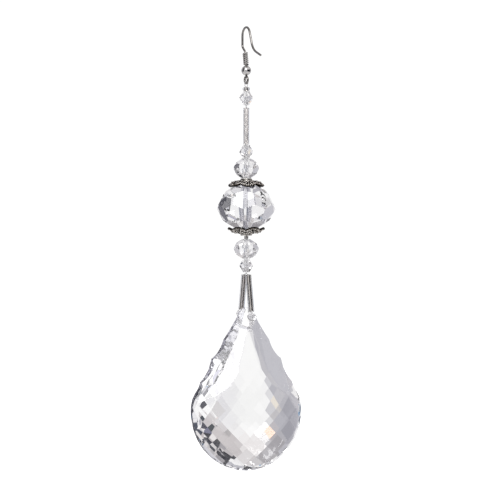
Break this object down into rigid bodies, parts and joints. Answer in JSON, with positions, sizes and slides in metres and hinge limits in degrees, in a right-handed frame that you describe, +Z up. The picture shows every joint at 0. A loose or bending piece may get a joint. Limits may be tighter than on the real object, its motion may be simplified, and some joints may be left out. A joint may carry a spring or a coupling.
{
  "type": "hanging crystal icicle ornament",
  "caption": "Hanging crystal icicle ornament: fish-hook wire with coil and ball, threaded faceted glass beads and bugles, capped large bead and French-cut pendeloque drop.",
  "frame": {"origin": "underside of the hook's crook at its highest point, where the ornament rests on whatever it hangs from", "axes": "+Z up; the pendeloque's front face looks along -Y and the hook's tail points along -Y; +X to the right seen from the front"},
  "size_m": [0.037, 0.019, 0.1363],
  "materials": {
    "sterling_silver_wire": "polished silver wire",
    "polished_silver": "mirror-polished silver",
    "antique_silver": "oxidised cast silver, dark in the recesses and bright on the high spots",
    "cut_crystal": "polished cut lead crystal, clear",
    "bead_glass": "fire-polished clear glass",
    "bugle_glass": "drawn clear glass tube",
    "lined_seed_glass": "clear glass with a silvered bore",
    "nylon_thread": "clear nylon monofilament"
  },
  "bodies": {
    "root": {"hook_wire": "sterling_silver_wire", "hook_coil": "sterling_silver_wire"},
    "hook_ball": {"hook_ball": "polished_silver"},
    "hang_loop": {"thread_eye_loop": "nylon_thread"},
    "strand": {"thread_strand": "nylon_thread"},
    "legs": {"thread_fork": "nylon_thread"},
    "pendeloque": {"pendeloque": "cut_crystal"},
    "seed_bead": {"seed_bead": "lined_seed_glass"},
    "top_bead": {"top_bead": "bead_glass"},
    "long_bugle": {"long_bugle": "bugle_glass"},
    "second_bead": {"second_bead": "bead_glass"},
    "upper_rondelle": {"upper_rondelle": "cut_crystal"},
    "upper_cap": {"upper_cap": "antique_silver"},
    "large_bead": {"large_bead": "cut_crystal"},
    "lower_cap": {"lower_cap": "antique_silver"},
    "spacer_bead": {"spacer_bead": "lined_seed_glass"},
    "lower_rondelle": {"lower_rondelle": "cut_crystal"},
    "lower_bead": {"lower_bead": "bead_glass"},
    "front_bugle": {"front_bugle": "bugle_glass"},
    "front_small_bead": {"front_small_bead": "bead_glass"},
    "front_seed_bead": {"front_seed_bead": "bead_glass"},
    "rear_bugle": {"rear_bugle": "bugle_glass"},
    "rear_small_bead": {"rear_small_bead": "bead_glass"}
  },
  "joints": [
    {"name": "hang_loop_swing", "type": "hinge", "parent": "root", "child": "hang_loop", "pos_m": [0, 0, -0.01686], "axis": [0, 1, 0], "range_deg": [-35, 35]},
    {"name": "strand_swing", "type": "hinge", "parent": "hang_loop", "child": "strand", "pos_m": [0, 0, -0.02399], "axis": [1, 0, 0], "range_deg": [-20, 20]},
    {"name": "legs_twist", "type": "hinge", "parent": "strand", "child": "legs", "pos_m": [0, 0, -0.0749], "axis": [0, 0, 1], "range_deg": [-90, 90]},
    {"name": "pendeloque_swing", "type": "hinge", "parent": "legs", "child": "pendeloque", "pos_m": [0, 0, -0.09161], "axis": [0, 1, 0], "range_deg": [-35, 35]},
    {"name": "hook_ball_spin", "type": "hinge", "parent": "root", "child": "hook_ball", "pos_m": [0, 0, -0.01293], "axis": [0, 0, 1], "continuous": true},
    {"name": "seed_bead_spin", "type": "hinge", "parent": "hang_loop", "child": "seed_bead", "pos_m": [0, 0, -0.0186], "axis": [0, 0, 1], "continuous": true},
    {"name": "top_bead_spin", "type": "hinge", "parent": "hang_loop", "child": "top_bead", "pos_m": [0, 0, -0.02145], "axis": [0, 0, 1], "continuous": true},
    {"name": "long_bugle_spin", "type": "hinge", "parent": "strand", "child": "long_bugle", "pos_m": [0, 0, -0.02992], "axis": [0, 0, 1], "continuous": true},
    {"name": "second_bead_spin", "type": "hinge", "parent": "strand", "child": "second_bead", "pos_m": [0, 0, -0.03766], "axis": [0, 0, 1], "continuous": true},
    {"name": "upper_rondelle_spin", "type": "hinge", "parent": "strand", "child": "upper_rondelle", "pos_m": [0, 0, -0.0429], "axis": [0, 0, 1], "continuous": true},
    {"name": "upper_cap_spin", "type": "hinge", "parent": "strand", "child": "upper_cap", "pos_m": [0, 0, -0.0475], "axis": [0, 0, 1], "continuous": true},
    {"name": "large_bead_spin", "type": "hinge", "parent": "strand", "child": "large_bead", "pos_m": [0, 0, -0.0548], "axis": [0, 0, 1], "continuous": true},
    {"name": "lower_cap_spin", "type": "hinge", "parent": "strand", "child": "lower_cap", "pos_m": [0, 0, -0.062], "axis": [0, 0, 1], "continuous": true},
    {"name": "spacer_bead_spin", "type": "hinge", "parent": "strand", "child": "spacer_bead", "pos_m": [0, 0, -0.0641], "axis": [0, 0, 1], "continuous": true},
    {"name": "lower_rondelle_spin", "type": "hinge", "parent": "strand", "child": "lower_rondelle", "pos_m": [0, 0, -0.0676], "axis": [0, 0, 1], "continuous": true},
    {"name": "lower_bead_spin", "type": "hinge", "parent": "strand", "child": "lower_bead", "pos_m": [0, 0, -0.0727], "axis": [0, 0, 1], "continuous": true},
    {"name": "front_bugle_spin", "type": "hinge", "parent": "legs", "child": "front_bugle", "pos_m": [0, -0.0025, -0.08122], "axis": [0, 0.184, 0.9829], "continuous": true},
    {"name": "front_small_bead_spin", "type": "hinge", "parent": "legs", "child": "front_small_bead", "pos_m": [0, -0.00382, -0.08829], "axis": [0, 0.184, 0.9829], "continuous": true},
    {"name": "front_seed_bead_spin", "type": "hinge", "parent": "legs", "child": "front_seed_bead", "pos_m": [0, -0.0042, -0.0903], "axis": [0, 0.184, 0.9829], "continuous": true},
    {"name": "rear_bugle_spin", "type": "hinge", "parent": "legs", "child": "rear_bugle", "pos_m": [0, 0.00242, -0.08081], "axis": [0, -0.184, 0.9829], "continuous": true},
    {"name": "rear_small_bead_spin", "type": "hinge", "parent": "legs", "child": "rear_small_bead", "pos_m": [0, 0.00369, -0.08758], "axis": [0, -0.184, 0.9829], "continuous": true}
  ]
}
